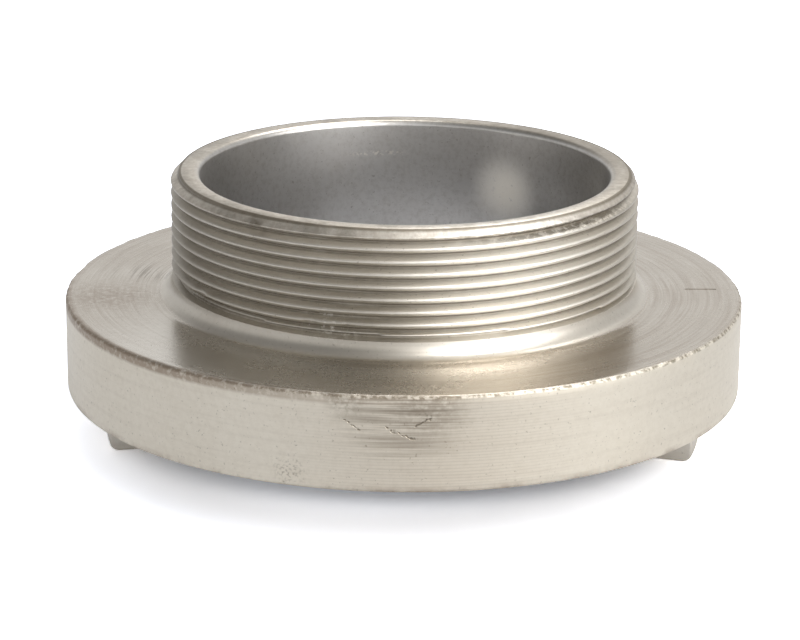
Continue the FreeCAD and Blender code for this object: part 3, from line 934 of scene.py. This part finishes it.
def rubber_material(colours):
    """Moulded black rubber, matt and a little dusty."""
    material, tree, shader = new_material("Seal rubber")
    node = partial(add_node, tree)
    at = node("ShaderNodeTexCoord", output="Object")
    dust = node(NOISE, {"Vector": at, "Scale": 1 / (7 * MM), "Detail": 4.0})
    dust = node(RAMP, [dust, 0.45, 0.75, 0.0, 0.5])
    colour = node("ShaderNodeMix", [dust, srgb(colours.rubber), srgb(colours.dust)], data_type="RGBA")
    tree.links.new(colour, shader.inputs["Base Color"])
    rough = node(MATH, [dust, 0.4, 0.56], operation="MULTIPLY_ADD")
    tree.links.new(rough, shader.inputs["Roughness"])

    # The mould's grain, 0.3 mm wide and 0.012 mm deep
    grain = node(NOISE, {"Vector": at, "Scale": 1 / (0.3 * MM)})
    bump = node("ShaderNodeBump", {"Height": grain, "Strength": 1.0, "Distance": 0.012 * MM})
    tree.links.new(bump, shader.inputs["Normal"])
    return material


# Stage

def set_world(facing):
    """A white sweep around the horizon below a ceiling that is lit on the right, all white for the camera."""
    world = bpy.data.worlds.new("Studio")
    bpy.context.scene.world = world
    world.use_nodes = True
    tree = world.node_tree
    tree.nodes.clear()
    node = partial(add_node, tree)
    ray = node("ShaderNodeLightPath", output="Is Camera Ray").node.outputs
    shown = node(MATH, [ray["Is Camera Ray"], ray["Is Transmission Ray"]], operation="MAXIMUM")
    towards = node("ShaderNodeTexCoord", output="Generated")
    to_right = node(VECTOR, [towards, (-math.sin(facing), math.cos(facing), 0)],
                    output="Value", operation="DOT_PRODUCT")

    # The ceiling by how far right of the coupling a ray points, the horizon by how far to either side of it,
    # and the blend from one to the other by how far up
    ceiling = node(RAMP, [to_right, -0.5, 0.2, 0.26, 0.72], interpolation_type="SMOOTHSTEP")
    aside = node(MATH, [to_right], operation="ABSOLUTE")
    horizon = node(RAMP, [aside, 0.25, 0.65, 0.9, 0.64], interpolation_type="SMOOTHSTEP")
    up = node("ShaderNodeSeparateXYZ", [towards], output="Z")
    sweep = node(RAMP, [up, 0.3, 0.6, horizon, ceiling], interpolation_type="SMOOTHSTEP")
    level = node(MATH, [sweep, shown], operation="MAXIMUM")
    light = node("ShaderNodeBackground", {"Color": (1, 1, 1, 1), "Strength": level})
    node("ShaderNodeOutputWorld", {"Surface": light})


def place_from_foot(azimuth, elevation, distance):
    """The place that far from the middle of the collar's foot."""
    flat = math.cos(elevation) * distance
    way = Vector((flat * math.cos(azimuth), flat * math.sin(azimuth), distance * math.sin(elevation)))
    return Vector((0, 0, DISC_BACK)) + way


# Soft boxes: azimuth from the camera's and elevation in degrees, width and height in metres, watts
LAMPS = {
    "key_light": (46, 24, 1.0, 0.7, 11),
    "side_light": (50, 54, 0.5, 0.3, 5),
    "top_light": (150, 60, 0.6, 0.4, 4.4),
}
LAMP_DISTANCE = 1.1

# How much brighter the floor shows in the metal's gloss than in plain light
FLOOR_IN_GLOSS = 1.92


def area_light(name, azimuth, elevation, width, height, watts):
    """A soft box that shows in the coupling's gloss and leaves the floor to the surround's light."""
    data = bpy.data.lights.new(name, "AREA")
    data.shape = "RECTANGLE"
    data.size = width
    data.size_y = height
    data.energy = watts
    lamp = bpy.data.objects.new(name, data)
    lamp.visible_diffuse = False
    bpy.context.scene.collection.objects.link(lamp)
    lamp.location = place_from_foot(azimuth, elevation, LAMP_DISTANCE)
    lamp.rotation_euler = (Vector((0, 0, DISC_BACK)) - lamp.location).to_track_quat("-Z", "Y").to_euler()


def floor_material(colour):
    """Pale painted board. The camera sees it washed out to white far from the coupling but much less within
    about 40 mm of its axis, a painted shade that keeps the coupling's close shadow.
    """
    material, tree, shader = new_material("Pale floor")
    node = partial(add_node, tree)
    ray = node("ShaderNodeLightPath", output="Is Camera Ray").node.outputs
    at = node("ShaderNodeTexCoord", output="Object")
    # Painted shade: the camera's wash grows with the distance from the coupling's axis, so the floor near it
    # stays darker
    away = node(VECTOR, [at, (0.78, 1, 0), (1.5 * MM, 0, 0)], operation="MULTIPLY_ADD")
    away = node(VECTOR, [away], output="Value", operation="LENGTH")
    wash = node(RAMP, [away, 34 * MM, 46 * MM, 1.1, 3.8], interpolation_type="SMOOTHSTEP")
    paint = srgb(colour)
    in_gloss = [channel * FLOOR_IN_GLOSS for channel in paint[:3]] + [1]
    washed = node(VECTOR, [paint[:3], wash], operation="SCALE")
    seen = node("ShaderNodeMix", [ray["Is Glossy Ray"], paint, in_gloss], data_type="RGBA")
    seen = node("ShaderNodeMix", [ray["Is Camera Ray"], seen, washed], data_type="RGBA")
    board = node("ShaderNodeBsdfDiffuse", {"Color": seen})
    tree.links.new(board, tree.nodes["Material Output"].inputs["Surface"])
    tree.nodes.remove(shader)
    return material


class COUPLING_OT_stage(bpy.types.Operator):
    """Sets the camera, the pale floor, the surround and the soft lights"""
    bl_idname = "coupling.stage"
    bl_label = "Stage"

    def execute(self, context):
        stage = context.scene.coupling_stage
        scene = context.scene
        scene.view_settings.view_transform = "Standard"
        set_world(stage.azimuth)

        work = bmesh.new()
        bmesh.ops.create_grid(work, x_segments=1, y_segments=1, size=stage.floor_size / 2)
        floor = object_from("floor", work)
        floor.data.materials.append(floor_material(stage.floor_colour))

        facing = stage.azimuth
        for name, (turn, elevation, *size_and_watts) in LAMPS.items():
            area_light(name, facing + math.radians(turn), math.radians(elevation), *size_and_watts)

        data = bpy.data.cameras.new("camera")
        data.sensor_width = 36
        data.lens = stage.lens
        data.clip_start = 0.01
        data.clip_end = 50
        camera = bpy.data.objects.new("camera", data)
        scene.collection.objects.link(camera)
        camera.location = place_from_foot(facing, stage.elevation, stage.distance)
        across = Vector((-math.sin(facing), math.cos(facing), 0))
        aim = across * stage.aim_across + Vector((0, 0, DISC_BACK - stage.aim_down))
        look = (aim - camera.location).to_track_quat("-Z", "Y").to_matrix()
        camera.rotation_euler = (look @ Matrix.Rotation(-stage.roll, 3, "Z")).to_euler()
        scene.camera = camera
        return {"FINISHED"}


class COUPLING_PT_panel(bpy.types.Panel):
    """Lists the coupling's pieces in the 3D view's sidebar"""
    bl_label = "Quarter turn coupling"
    bl_idname = "COUPLING_PT_panel"
    bl_space_type = "VIEW_3D"
    bl_region_type = "UI"
    bl_category = "Coupling"

    def draw(self, context):
        for operator, name in ((COUPLING_OT_body, "coupling_body"), (COUPLING_OT_seal, "coupling_seal"),
                               (COUPLING_OT_stage, "coupling_stage")):
            box = self.layout.box()
            box.operator(operator.bl_idname)
            group = getattr(context.scene, name)
            for field in group.bl_rna.properties.keys():
                if field not in ("rna_type", "name"):
                    box.prop(group, field)


GROUPS = {
    "coupling_thread": ThreadSizes,
    "coupling_body": BodySizes,
    "coupling_seal": SealSizes,
    "coupling_stage": StageSettings,
    "coupling_finish": FinishColours,
}
CLASSES = (*GROUPS.values(), COUPLING_OT_body, COUPLING_OT_seal, COUPLING_OT_stage, COUPLING_PT_panel)


def register():
    for item in CLASSES:
        bpy.utils.register_class(item)
    for name, group in GROUPS.items():
        setattr(bpy.types.Scene, name, PointerProperty(type=group))


def unregister():
    for name in GROUPS:
        delattr(bpy.types.Scene, name)
    for item in reversed(CLASSES):
        bpy.utils.unregister_class(item)


def main():
    """Makes every piece in order."""
    register()
    bpy.ops.coupling.stage()
    bpy.ops.coupling.body()
    bpy.ops.coupling.seal()


if __name__ == "__main__":
    main()
